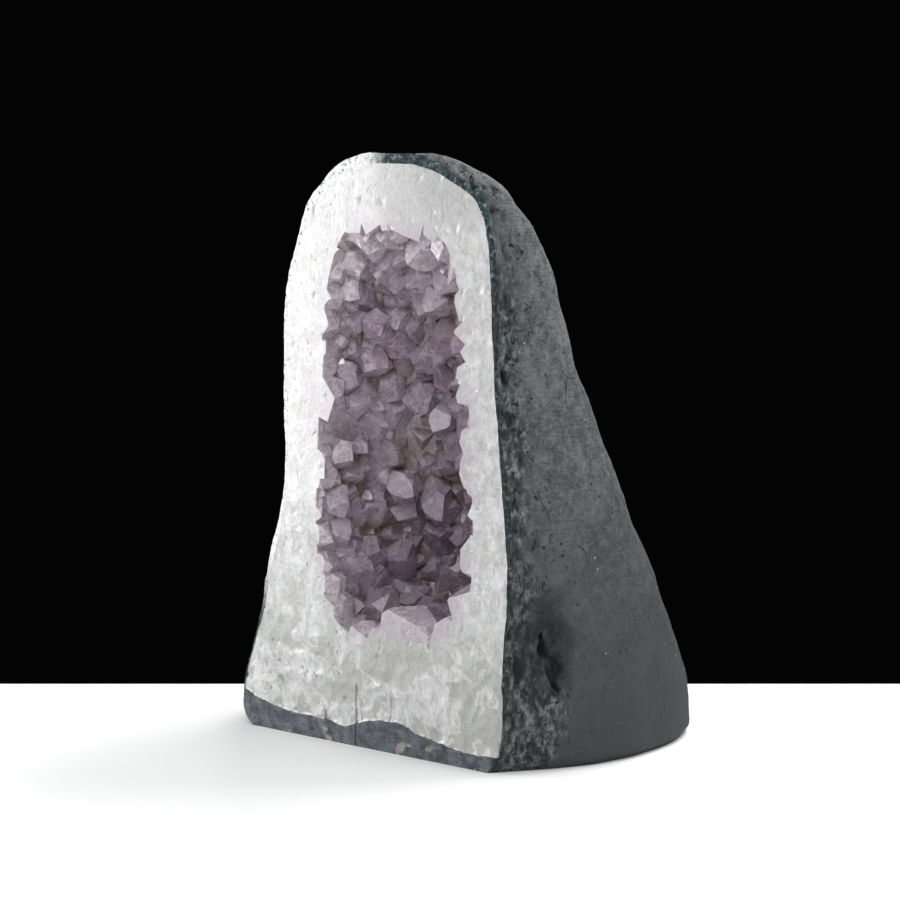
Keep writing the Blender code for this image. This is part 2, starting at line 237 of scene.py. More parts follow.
# Saw cut: its small unevenness, and the cutter that makes it
CUT_STEP = 0.0016
CUT_LEFT, CUT_RIGHT, CUT_LOW, CUT_HIGH = -0.150, 0.150, -0.006, 0.414
CUT_FRONT = -0.030
PROUD = 0.004  # pieces stand this far out of the face before the saw cuts them
CUTTER_PROUD = 0.012
GAP = 0.00002

CAMERA_PLACE = Vector((1.418, -1.416, 0.433))
CAMERA_TURN = (math.radians(83.5), 0.0, math.radians(43.5))
CAMERA_LENS = 120.0

FLOOR_BACK = 0.14
FLOOR_HALF = 1.6
FLOOR_FRONT = 2.6

MIDDLE = (0.0, -0.05, 0.2)
# Area lights: name, place, what they point at, width, height, power
LIGHTS = (
    ("key", (-0.88, -0.632, 0.37), (-0.16, 0.06, 0.30), 0.56, 0.70, 10.5),
    ("front fill", (0.35, -1.5, 0.9), MIDDLE, 1.0, 0.8, 5.0),
    ("spark", (0.40, -0.75, 1.20), MIDDLE, 0.32, 0.32, 4.2),
    ("glint", (1.45, -0.80, 0.60), MIDDLE, 0.32, 0.32, 4.2),
    ("flank fill", (1.3, 0.2, 1.3), MIDDLE, 0.9, 0.9, 12.0),
    ("top", (0.25, 0.55, 1.2), MIDDLE, 0.8, 0.5, 15.0),
    ("back", (-0.9, 1.3, 0.8), MIDDLE, 1.0, 0.8, 9.0),
)
DARKNESS = (0.0012, 0.0012, 0.0014, 1.0)

# Cracks that rise from the foot through the quartz: place, top, half width
FACE_CRACKS = (
    (-0.0148, 0.0450, 0.0010),
    (-0.0445, 0.0210, 0.0011),
    (-0.0100, 0.0340, 0.0003),
    (0.0180, 0.0400, 0.0003),
)


def smooth_through(rows, at):
    """The rows of values at one or more places, on a smooth curve through the table's rows."""
    table = np.array(rows)
    places, values = table[:, 0], table[:, 1:]
    slopes = np.gradient(values, places, axis=0)
    at = np.clip(np.asarray(at, float), places[0], places[-1])
    i = np.clip(np.searchsorted(places, at) - 1, 0, len(places) - 2)
    span = (places[i + 1] - places[i])[..., None]
    t = (at - places[i])[..., None] / span
    return (
        (2 * t**3 - 3 * t**2 + 1) * values[i]
        + (t**3 - 2 * t**2 + t) * span * slopes[i]
        + (3 * t**2 - 2 * t**3) * values[i + 1]
        + (t**3 - t**2) * span * slopes[i + 1]
    )


def fade(distance, margin):
    """0 at a sawn plane, 1 from the margin on."""
    t = min(max(distance / margin, 0.0), 1.0)
    return t * t * (3 - 2 * t)


def drift(point, size):
    return Vector([noise.noise(point / size + Vector(shift)) for shift in NOISE_SHIFTS])


def lumps(point):
    """How far the stone's uneven skin moves a point. The sawn planes stay flat."""
    move = drift(point, LUMP_SIZE) * LUMP_HEIGHT + drift(point, KNOB_SIZE) * KNOB_HEIGHT
    move.y *= fade(point.y, FLAT_MARGIN)
    move.z *= fade(point.z, FLAT_MARGIN)
    return move


def scar_nearness(point, widen=1.0):
    """1 in the middle of the scar low on the right flank, 0 outside it."""
    away = math.sqrt(
        sum(((p - m) / (r * widen)) ** 2 for p, m, r in zip(point, SCAR_MIDDLE, SCAR_REACH))
    )
    return 1 - fade(away, 1.0)


def section(height, sweep, left_in, right_in, back_in):
    """Outline of the body at a height, from the face's right edge round the back to its left edge."""
    left, right, swell, depth = smooth_through(STATIONS, height)
    left, right, depth = left - left_in, right - right_in, depth - back_in
    widest = WIDEST_SHARE * depth
    middle, half = (right - left) / 2, (right + left) / 2
    outline = []
    for t in sweep:
        beyond = abs(t - math.pi / 2) - math.pi / 2
        side = 1 if t < math.pi / 2 else -1
        if beyond > 0:
            forward = beyond / FLANK_SWEEP
            x = middle + side * (half + swell * (1 - forward**2))
            outline.append((x, widest * (1 - forward)))
        else:
            c, s = abs(math.cos(t)), math.sin(t)
            x = middle + side * (half + swell) * c ** (2 / BACK_SQUARENESS)
            outline.append((x, widest + (depth - widest) * s ** (2 / BACK_SQUARENESS)))
    return outline


def ring_heights(high, rings):
    """Heights from the ground up, closer together towards the top."""
    return [high * math.sin(math.pi / 2 * i / (rings - 1)) for i in range(rings)]


def finished(name, bm):
    """The mesh as an object, with its faces pointing out."""
    bmesh.ops.recalc_face_normals(bm, faces=bm.faces)
    mesh = bpy.data.meshes.new(name)
    bm.to_mesh(mesh)
    bm.free()
    made = bpy.data.objects.new(name, mesh)
    bpy.context.scene.collection.objects.link(made)
    return made


def stacked_rings(name, rings):
    """A closed mesh through rings of equal length, whose ends make the sawn face."""
    bm = bmesh.new()
    levels = [[bm.verts.new(p) for p in ring] for ring in rings]
    for lower, upper in zip(levels, levels[1:]):
        for i in range(len(lower) - 1):
            bm.faces.new((lower[i], lower[i + 1], upper[i + 1]))
            bm.faces.new((lower[i], upper[i + 1], upper[i]))
    for level in (levels[0], levels[-1]):
        behind = [v.co for v in level if v.co.y >= 0]
        middle = bm.verts.new(sum(behind, Vector()) / len(behind))
        for here, after in zip(level, level[1:] + level[:1]):
            bm.faces.new((here, after, middle))
    bm.faces.new([level[0] for level in levels] + [level[-1] for level in reversed(levels)])
    return finished(name, bm)


def boolean(target, other, operation):
    modifier = target.modifiers.new(operation.lower(), "BOOLEAN")
    modifier.operation = operation
    modifier.solver = "MANIFOLD"
    modifier.object = other


def carve(target, *cutters):
    for cutter in cutters:
        boolean(target, cutter, "DIFFERENCE")


def settle(made, cutters):
    """Applies a piece's modifiers and removes the cutters."""
    graph = bpy.context.evaluated_depsgraph_get()
    mesh = bpy.data.meshes.new_from_object(made.evaluated_get(graph))
    mesh.materials.clear()  # a Boolean brings an empty slot along
    made.modifiers.clear()
    made.data = mesh
    for cutter in cutters:
        bpy.data.objects.remove(cutter)


def ripples(place, rows):
    """Unevenness of an edge at a place along it."""
    return sum(noise.noise(Vector((place / size, row, 0.0))) * height for size, row, height in rows)


def foot_line(x):
    """Height of the foot's upper edge, with the small bumps and the spike that the trowel left."""
    spike = SPIKE_HEIGHT * max(0.0, 1 - abs(x - SPIKE_PLACE) / SPIKE_HALF)
    return float(smooth_through(FOOT_LINE, x)[0]) + ripples(x, FOOT_RIPPLES) + spike


def foot_block(name, lowered):
    """All that lies below the foot's upper edge, a little wider than the body."""
    reach, back = FOOT_BLOCK_REACH, 2 * FOOT_BLOCK_REACH
    across = np.linspace(-reach, reach, FOOT_BLOCK_STEPS)
    outline = [*((x, foot_line(x) - lowered) for x in across), (reach, -reach), (-reach, -reach)]
    bm = bmesh.new()
    near, far = ([bm.verts.new((x, y, z)) for x, z in outline] for y in (-reach, back))
    for i in range(len(outline)):
        j = (i + 1) % len(outline)
        bm.faces.new((near[i], near[j], far[j], far[i]))
    bm.faces.new(near)
    bm.faces.new(far)
    return finished(name, bm)


def quartz_body(name, grown, front):
    """The quartz layer's outside: the nodule less its coat, standing on the foot's top."""
    high = HEIGHT - RIND_TOP + grown
    sweep = np.linspace(-FLANK_SWEEP, math.pi + FLANK_SWEEP, QUARTZ_AROUND)
    rings = []
    for height in ring_heights(high, QUARTZ_RINGS):
        right = RIND_RIGHT + ripples(height, COAT_RIPPLES) - grown
        outline = section(height / high * HEIGHT, sweep, RIND_LEFT - grown, right, RIND_BACK - grown)
        ring = [Vector((x, y, height)) for x, y in outline]
        for p in ring:
            if p.y > 0:
                inset = COAT_THICKER * fade(p.y, 0.010)
                inward = SCAR_DEPTH * scar_nearness(p) + math.copysign(inset, p.x)
                p += lumps(p) - Vector((inward, 0, 0))
        first, last = ring[0], ring[-1]
        rings.append([Vector((first.x, front, height)), *ring, Vector((last.x, front, height))])
    made = stacked_rings(name, rings)
    block = foot_block(f"{name}_foot", grown)
    carve(made, block)
    return made, block


def wall_point(angle, inward, offset=0.0):
    """A point of the hollow's wall. The angle goes round the opening and inward from rim to back."""
    c, s = math.cos(angle), math.sin(angle)
    power = 2 / HOLLOW_SQUARENESS
    across = math.copysign(abs(c) ** power, c)
    upward = math.copysign(abs(s) ** power, s)
    ring = max(math.cos(inward), 0.0) ** HOLLOW_BACK_ROUNDNESS
    z = HOLLOW_MIDDLE_Z + (HOLLOW_HALF_HEIGHT + offset) * upward * ring
    half_width = HOLLOW_HALF_WIDTH - HOLLOW_WIDER_LOW * upward * ring + offset
    depth = smooth_through(STATIONS, z)[3] * HOLLOW_DEPTH_SHARE + offset
    y = math.copysign(depth * abs(math.sin(inward)) ** HOLLOW_BACK_ROUNDNESS, inward)
    return Vector((HOLLOW_MIDDLE_X + half_width * across * ring, y, z))


def wall_normal(angle, inward):
    """Direction from the wall into the hollow."""
    inward = min(max(inward, POLE_MARGIN), math.pi / 2 - POLE_MARGIN)
    along = wall_point(angle + NORMAL_STEP, inward) - wall_point(angle - NORMAL_STEP, inward)
    back = wall_point(angle, inward + NORMAL_STEP) - wall_point(angle, inward - NORMAL_STEP)
    normal = along.cross(back).normalized()
    inside = Vector((HOLLOW_MIDDLE_X, 0.0, HOLLOW_MIDDLE_Z))
    return normal if normal.dot(inside - wall_point(angle, inward)) > 0 else -normal


def hollow_body(name, offset, front):
    """The hollow as a closed solid, from a plane before the face to the back."""
    bm = bmesh.new()
    angles = [2 * math.pi * i / WALL_AROUND for i in range(WALL_AROUND)]
    rim = [wall_point(a, 0, offset) for a in angles]
    rings = [[bm.verts.new((p.x, front, p.z)) for p in rim]]
    for i in range(WALL_RINGS):
        inward = math.pi / 2 * i / WALL_RINGS
        rings.append([bm.verts.new(wall_point(a, inward, offset)) for a in angles])
    for near, far in zip(rings, rings[1:]):
        for i in range(WALL_AROUND):
            j = (i + 1) % WALL_AROUND
            bm.faces.new((near[i], near[j], far[j]))
            bm.faces.new((near[i], far[j], far[i]))
    pole = bm.verts.new(wall_point(0, math.pi / 2, offset))
    for i in range(WALL_AROUND):
        bm.faces.new((rings[-1][i], rings[-1][(i + 1) % WALL_AROUND], pole))
    bm.faces.new(rings[0])
    return finished(name, bm)


def cut_depth(x, z, foot):
    """How far behind the plane the sawn face lies at a place. It is nearly flat."""
    p = Vector((x, 0.0, z))
    depth = 0.00022 + noise.noise(p / 0.030) * 0.00010
    # the foot's front has fine level trowel marks
    if z < foot:
        trowel = noise.noise(Vector((x / 0.020, 2.0, z / 0.0035)))
        return depth + 0.0002 + trowel * 0.00022 + noise.noise(p / 0.0045) * 0.00012
    # the quartz is lumpier low down, and has a few small chips all over
    rough = 1 - fade(z - 0.045, 0.075)
    lump = abs(noise.noise(p / 0.014 + Vector((4.0, 0.0, 9.0))))
    depth += (0.0004 + 0.0013 * lump) * rough
    chip = max(0.0, noise.noise(p / 0.0055 + Vector((7.0, 1.0, 2.0))) - 0.50)
    return depth + chip * 0.0030


def saw_cutter():
    """A slab in front of the nodule whose back is the sawn face."""
    across = np.arange(CUT_LEFT, CUT_RIGHT + CUT_STEP / 2, CUT_STEP)
    upward = np.arange(CUT_LOW, CUT_HIGH + CUT_STEP / 2, CUT_STEP)
    columns, rows = len(across), len(upward)
    foot = [foot_line(x) for x in across]
    points = [(x, cut_depth(x, z, low), z) for z in upward for x, low in zip(across, foot)]
    faces = []
    for j in range(rows - 1):
        for i in range(columns - 1):
            a = j * columns + i
            faces.append((a, a + 1, a + columns + 1))
            faces.append((a, a + columns + 1, a + columns))
    edge = list(range(columns))
    edge += [j * columns + columns - 1 for j in range(1, rows)]
    edge += [(rows - 1) * columns + i for i in range(columns - 2, -1, -1)]
    edge += [j * columns for j in range(rows - 2, 0, -1)]
    start = len(points)
    points += [(points[a][0], CUT_FRONT, points[a][2]) for a in edge]
    for k, a in enumerate(edge):
        j = (k + 1) % len(edge)
        faces.append((a, edge[j], start + j, start + k))
    faces.append(tuple(range(start, start + len(edge))))
    mesh = bpy.data.meshes.new("saw_cutter")
    mesh.from_pydata(points, [], faces)
    bm = bmesh.new()
    bm.from_mesh(mesh)
    bpy.data.meshes.remove(mesh)
    return finished("saw_cutter", bm)


def coat_relief(p):
    """How far the coat's rough skin stands out at a point of its outside. Negative in its pits."""
    level = noise.noise(p / 0.013) * 0.00040 + noise.noise(p / 0.005) * 0.00018
    # trowel strokes, whose direction changes slowly from place to place
    turn = noise.noise(p / 0.10 + Vector((5.0, 2.0, 8.0))) * 2.5
    round_it = p.y if abs(p.x) > 0.5 * HOLLOW_HALF_WIDTH else p.x
    along = round_it * math.cos(turn) + p.z * math.sin(turn)
    across = p.z * math.cos(turn) - round_it * math.sin(turn)
    level += noise.noise(Vector((along / 0.040, across / 0.006, 7.7))) * 0.00022
    if p.x > 0:
        # the rough strip beside the sawn face, its pits drawn out along the height
        reach = 0.016 + 0.012 * noise.noise(Vector((1.0, 2.0, p.z / 0.035)))
        strip = 1 - fade(p.y - reach * 0.4, reach)
        drawn = Vector((p.x, p.y, p.z * 0.42))
        pits = max(0.0, noise.noise(drawn / 0.0046) - 0.05)
        level -= strip * (0.0004 + pits * 0.0055 + abs(noise.noise(drawn / 0.0085)) * 0.0022)
        # broken ledges and a deep groove in the scar
        broken = scar_nearness(p, 1.15)
        ledges = abs(noise.noise(p / 0.016 + Vector((2.0, 0.0, 0.0))))
        level -= broken * (0.0045 * ledges + pits * 0.0035)
        groove = crescent(p + drift(p, 0.007) * CRESCENT_DRIFT)
        level -= (0.0050 + 0.0030 * noise.noise(p / 0.0045)) * groove
    return level


def crescent(p):
    """1 in the bottom of the crescent, 0 outside it."""
    best = 0.0
    for (y0, z0, r0), (y1, z1, r1) in zip(CRESCENT, CRESCENT[1:]):
        span = Vector((y1 - y0, z1 - z0))
        share = min(max(Vector((p.y - y0, p.z - z0)).dot(span) / span.length_squared, 0.0), 1.0)
        away = math.hypot(p.y - y0 - span.x * share, p.z - z0 - span.y * share)
        best = max(best, 1 - fade(away, (r0 + (r1 - r0) * share) * 1.5))
    return best


def coat():
    """The stone coat's outside: a dense skin with its pits and scar, still solid within."""
    foot_heights = np.linspace(0.0008, FOOT_FILLET, COAT_FOOT_RINGS)
    heights = [0.0, *foot_heights, *ring_heights(HEIGHT, COAT_RINGS)[3:]]
    right = np.linspace(-FLANK_SWEEP, 0.0, FLANK_COLUMNS)
    back = np.linspace(0.0, math.pi, BACK_COLUMNS)[1:]
    left = np.linspace(math.pi, math.pi + FLANK_SWEEP, LEFT_COLUMNS)[1:]
    sweep = [*right, *back, *left]
    rings = []
    for height in heights:
        tucked = FOOT_TUCK * (1 - fade(height, FOOT_FILLET))
        outline = section(height, sweep, tucked, tucked, tucked)
        ring = [Vector((x, y, height)) for x, y in outline]
        ring = [p + lumps(p) - Vector((SCAR_DEPTH * scar_nearness(p), 0, 0)) for p in ring]
        first, last = ring[0], ring[-1]
        rings.append([Vector((first.x, -PROUD, first.z)), *ring, Vector((last.x, -PROUD, last.z))])
    made = stacked_rings("stone_coat", rings)
    skin = [(vertex.co.copy(), vertex.normal.copy()) for vertex in made.data.vertices]
    places, depths = [], []
    for place, outward in skin:
        depths.append(0.0)
        if place.z < FOOT_FILLET:
            outward.z = 0.0
        worn = 0.0
        if place.y > -PROUD / 2:
            worn = 0.0007 * (1 - fade(place.y, 0.0025)) * (1 + noise.noise(place / 0.006))
        if place.z > 0.0004:
            spread = coat_relief(Vector((place.x, max(place.y, 0.0), place.z)))
            outward.y *= fade(place.y, 0.003)
            place = place + outward * (spread - worn)
            depths[-1] = -spread
        places.extend(place)
    made.data.vertices.foreach_set("co", places)
    # how deep each point lies in the coat's pits, groove and scar, which the finish paints as shade
    made.data.attributes.new("pit", "FLOAT", "POINT").data.foreach_set("value", depths)
    made.data.update()
    return made


def crystal(root, axis, rng, tip_height, radius):
    """One quartz point: a six-sided prism cut by six sloping faces of uneven size."""
    across = axis.orthogonal().normalized()
    beside = axis.cross(across)
    base = root - axis * ROOT_DEPTH
    tip = root + axis * tip_height
    turn = rng.uniform(0, math.pi / 3)
    sides = [turn + math.pi / 3 * k for k in range(6)]
    flat = rng.uniform(*PRISM_EVENNESS, 6)
    bm = bmesh.new()
    reach = radius / math.cos(math.pi / 6) * PRISM_EVENNESS[1]
    square = [across * sx + beside * sy for sx, sy in ((1, 1), (-1, 1), (-1, -1), (1, -1))]
    low = [bm.verts.new(base + c * reach) for c in square]
    high = [bm.verts.new(tip + axis * radius + c * reach) for c in square]
    for k in range(4):
        bm.faces.new((low[k], low[(k + 1) % 4], high[(k + 1) % 4], high[k]))
    bm.faces.new(high)
    bm.faces.new(reversed(low))
    cuts = []
    for k, a in enumerate(sides):
        out = across * math.cos(a) + beside * math.sin(a)
        cuts.append((base + out * radius * flat[k], out))
        slope = out * math.sin(TIP_ANGLE) + axis * math.cos(TIP_ANGLE)
        shift = rng.uniform(*(LARGE_FACE_SHIFTS if k % 2 else SMALL_FACE_SHIFTS))
        cuts.append((tip + slope * radius * shift, slope))
    for place, normal in cuts:
        whole = bm.verts[:] + bm.edges[:] + bm.faces[:]
        cut = bmesh.ops.bisect_plane(bm, geom=whole, plane_co=place, plane_no=normal, clear_outer=True)
        edges = [e for e in cut["geom_cut"] if isinstance(e, bmesh.types.BMEdge)]
        if len(edges) > 2:
            bmesh.ops.contextual_create(bm, geom=edges)
    spots = [root, root.lerp(tip, 0.5), tip]
    return {"mesh": bm, "spots": spots, "reach": reach, "radius": radius, "planes": cuts}


def rim_crystals(rng):
    """The points that the saw cut, each with its tip where the photo shows it."""
    wall = [wall_point(a, 0.0) for a in RIM_ANGLES]
    made = []
    for x, z, radius in RIM_POINTS:
        radius *= rng.uniform(*RIM_SPREAD)
        aside, below = rng.uniform(-RIM_TILT, RIM_TILT, 2) * radius
        root = min(wall, key=lambda w: (w.x - x - aside) ** 2 + (w.z - z - below) ** 2)
        # the blunter a cut is to be, the further its tip stands before the saw's plane
        from_wall = (Vector((x, 0.0, z)) - root).normalized()
        blunt = rng.uniform(*BLUNTNESS) if radius < BLUNT_RADIUS else 1.0
        further = 0.30 * blunt * radius
        if z < STEM_CUT_BELOW:
            blunt, further = STEM_BLUNTNESS, 0.5 * radius - STEM_BACK
        tip = Vector((x, (0.2 - 0.8 * blunt) * radius, z)) + from_wall * further
        root = Vector((root.x, 0.55 * blunt * radius, root.z))
        axis = tip - root
        made.append(crystal(root, axis.normalized(), rng, axis.length, radius))
    return made


def lining_crystals(rng, made):
    """Points that cover the rest of the wall, the large ones first."""
    roots = [(c["spots"][0], c["radius"]) for c in made]
    for smallest, largest, share in CRYSTAL_SIZES:
        for _ in range(int(CRYSTAL_TRIES * share)):
            angle, inward = rng.uniform(0, 2 * math.pi), rng.uniform(RIM_START, math.pi / 2)
            radius = rng.uniform(smallest, largest)
            root = wall_point(angle, inward)
            if any((root - other).length < CRYSTAL_PACKING * (radius + r) for other, r in roots):
                continue
            roots.append((root, radius))
            axis = (wall_normal(angle, inward) + LEAN * Vector(rng.normal(0, 1, 3))).normalized()
            tip_height = POINT_FOOT + radius * rng.uniform(*POINT_HEIGHTS)
            made.append(crystal(root, axis, rng, tip_height, radius))
    return made


def spread_groups(crystals):
    """Sorts crystals into groups in which none touches another, so that each group is a clean solid."""
    groups = []
    for one in crystals:
        for group in groups:
            if all(
                (a - b).length > one["reach"] + other["reach"] + GROUP_CLEARANCE
                for other in group
                for a in one["spots"]
                for b in other["spots"]
            ):
                group.append(one)
                break
        else:
            groups.append([one])
    return groups


def joined(name, group):
    """Several crystals in one cutter object."""
    whole = bmesh.new()
    for one in group:
        piece = bpy.data.meshes.new("point")
        one["mesh"].to_mesh(piece)
        one["mesh"].free()
        whole.from_mesh(piece)
        bpy.data.meshes.remove(piece)
    return finished(name, whole)


def mark_facets(made, crystals, rng):
    """Gives each facet its crystal's tone and each vertex its height over the wall."""
    spots = kdtree.KDTree(len(crystals) * 3)
    for number, one in enumerate(crystals):
        for k, spot in enumerate(one["spots"]):
            spots.insert(spot, number * 3 + k)
    spots.balance()
    tones = rng.uniform(0, 1, len(crystals))
    planes = [np.array([(*n, n.dot(p)) for p, n in one["planes"]]) for one in crystals]
    bm = bmesh.new()
    bm.from_mesh(made.data)
    tone = bm.faces.layers.float.new("tone")
    for face in bm.faces:
        middle, normal = np.array(face.calc_center_median()), np.array(face.normal)
        face[tone] = 0.5
        for _, index, _ in spots.find_n(Vector(middle), NEAR_SPOTS):
            rows = planes[index // 3]
            ways, places = rows[:, :3], rows[:, 3]
            lies_in = (ways @ normal > SAME_WAY) & (np.abs(ways @ middle - places) < SAME_PLANE)
            if lies_in.any():
                # the facet's own number from 0 to 1
                facet = np.sin(np.flatnonzero(lies_in)[0] * 12.9 + index // 3 * 78.2) * 437.5 % 1.0
                face[tone] = CRYSTAL_TONE * tones[index // 3] + (1 - CRYSTAL_TONE) * facet
                break
    for _ in range(EDGE_ROUNDS):
        long = [e for e in bm.edges if e.calc_length() > EDGE_LIMIT]
        if not long:
            break
        bmesh.ops.subdivide_edges(bm, edges=long, cuts=1, use_grid_fill=False)
        bmesh.ops.triangulate(bm, faces=[f for f in bm.faces if len(f.verts) > 3])
    wall = kdtree.KDTree(GAUGE_AROUND * GAUGE_INWARD)
    for i in range(GAUGE_AROUND):
        for j in range(GAUGE_INWARD):
            spot = wall_point(2 * math.pi * i / GAUGE_AROUND, math.pi / 2 * j / GAUGE_INWARD)
            wall.insert(spot, i * GAUGE_INWARD + j)
    wall.balance()
    rise = bm.verts.layers.float.new("rise")
    for vertex in bm.verts:
        vertex[rise] = wall.find(vertex.co)[2]
    for face in bm.faces:
        sawn = face.normal.y < SAWN_WAY and max(v.co.y for v in face.verts) < SAWN_DEPTH
        face.material_index = 1 if sawn else 0
    bm.to_mesh(made.data)
    bm.free()


class Finish:
    """A material with a Principled shader, and short ways to add nodes to it."""

    def __init__(self, name, **constants):
        self.material = bpy.data.materials.new(name)
        self.material.use_nodes = True
        self.tree = self.material.node_tree
        self.shader = self.tree.nodes["Principled BSDF"]
        self.output = self.tree.nodes["Material Output"]
        for key, value in constants.items():
            self.shader.inputs[key.replace("_", " ")].default_value = value
        place = self.node("TexCoord").outputs["Object"]
        self.place = self.vector("SUBTRACT", place, tuple(SHIFT))

    def feed(self, socket, value):
        if isinstance(value, bpy.types.NodeSocket):
            self.tree.links.new(value, socket)
        else:
            socket.default_value = value

    def node(self, kind, inputs=(), **settings):
        made = self.tree.nodes.new(f"ShaderNode{kind}")
        for key, value in settings.items():
            setattr(made, key, value)
        for key, value in inputs:
            self.feed(made.inputs[key], value)
        return made

    def math(self, operation, a, b=0.0):
        return self.node("Math", ((0, a), (1, b)), operation=operation).outputs[0]

    def plus(self, a, b):
        return self.math("ADD", a, b)

    def minus(self, a, b):
        return self.math("SUBTRACT", a, b)

    def over(self, a, b):
        return self.math("DIVIDE", a, b)

    def distance(self, a, b):
        return self.math("ABSOLUTE", self.minus(a, b))

    def times(self, first, *others):
        for other in others:
            first = self.math("MULTIPLY", first, other)
        return first

    def vector(self, operation, a, b):
        return self.node("VectorMath", ((0, a), (1, b)), operation=operation).outputs[0]

    def length(self, vector):
        return self.node("VectorMath", ((0, vector),), operation="LENGTH").outputs["Value"]

    def xyz(self):
        return self.node("SeparateXYZ", ((0, self.place),)).outputs

    def pack(self, x, y, z):
        return self.node("CombineXYZ", ((0, x), (1, y), (2, z))).outputs[0]

    def turned(self, rotation, scale):
        inputs = (("Vector", self.place), ("Rotation", rotation), ("Scale", scale))
        return self.node("Mapping", inputs).outputs[0]

    def stretched(self, *shares):
        """The place, scaled along x, y and z. A share under 1 makes a pattern longer that way."""
        return self.vector("MULTIPLY", self.place, shares)

    def attribute(self, name):
        return self.node("Attribute", attribute_name=name).outputs["Fac"]

    def noise(self, size, detail=4.0, roughness=0.55, distortion=0.0, place=None):
        """Noise from 0 to 1 with features of about the given size."""
        inputs = (
            ("Vector", place or self.place),
            ("Scale", 1 / size),
            ("Detail", detail),
            ("Roughness", roughness),
            ("Distortion", distortion),
        )
        return self.node("TexNoise", inputs).outputs["Fac"]

    def stray(self, amount, noise):
        """Noise turned into a push of up to half the amount either way."""
        return self.times(self.minus(noise, 0.5), amount)

    def cells(self, size, feature="F1", output="Distance", place=None):
        inputs = (("Vector", place or self.place), ("Scale", 1 / size))
        return self.node("TexVoronoi", inputs, feature=feature).outputs[output]

    def cell_value(self, size, place=None):
        """A number from 0 to 1 for each cell."""
        shade = self.cells(size, output="Color", place=place)
        return self.node("SeparateColor", ((0, shade),)).outputs[0]

    def span(self, value, low, high, start=0.0, end=1.0):
        """A smooth step: start below low, end above high."""
        inputs = (("Value", value), ("From Min", low), ("From Max", high), ("To Min", start), ("To Max", end))
        return self.node("MapRange", inputs, interpolation_type="SMOOTHSTEP").outputs["Result"]

    def fall(self, value, low, high):
        """A smooth step down, from 1 below low to 0 above high."""
        return self.span(value, low, high, 1.0, 0.0)

    def mix(self, share, a, b, blend="MIX"):
        made = self.node("Mix", data_type="RGBA", blend_type=blend)
        self.feed(made.inputs["Factor"], share)
        self.feed(made.inputs[6], colour(a))
        self.feed(made.inputs[7], colour(b))
        return made.outputs[2]

    def layered(self, base, *rows):
        """A colour with shades laid over it. Each row: a value, its step as in span, the shade."""
        for *step, shade in rows:
            base = self.mix(self.span(*step), base, shade)
        return base

    def ramp(self, value, *stops):
        made = self.node("ValToRGB", ((0, value),))
        band = made.color_ramp
        while len(band.elements) < len(stops):
            band.elements.new(0.5)
        for element, (place, shade) in zip(band.elements, stops):
            element.position = place
            element.color = colour(shade)
        return made.outputs["Color"]

    def bump(self, height, distance, strength=1.0, over=None):
        inputs = [("Height", height), ("Distance", distance), ("Strength", strength)]
        if over:
            inputs.append(("Normal", over))
        return self.node("Bump", inputs).outputs["Normal"]

    def surface(self, base, roughness, normal):
        self.feed(self.shader.inputs["Base Color"], base)
        self.feed(self.shader.inputs["Roughness"], roughness)
        self.feed(self.shader.inputs["Normal"], normal)


def colour(value):
    if isinstance(value, tuple) and len(value) == 3:
        return (*value, 1.0)
    return value


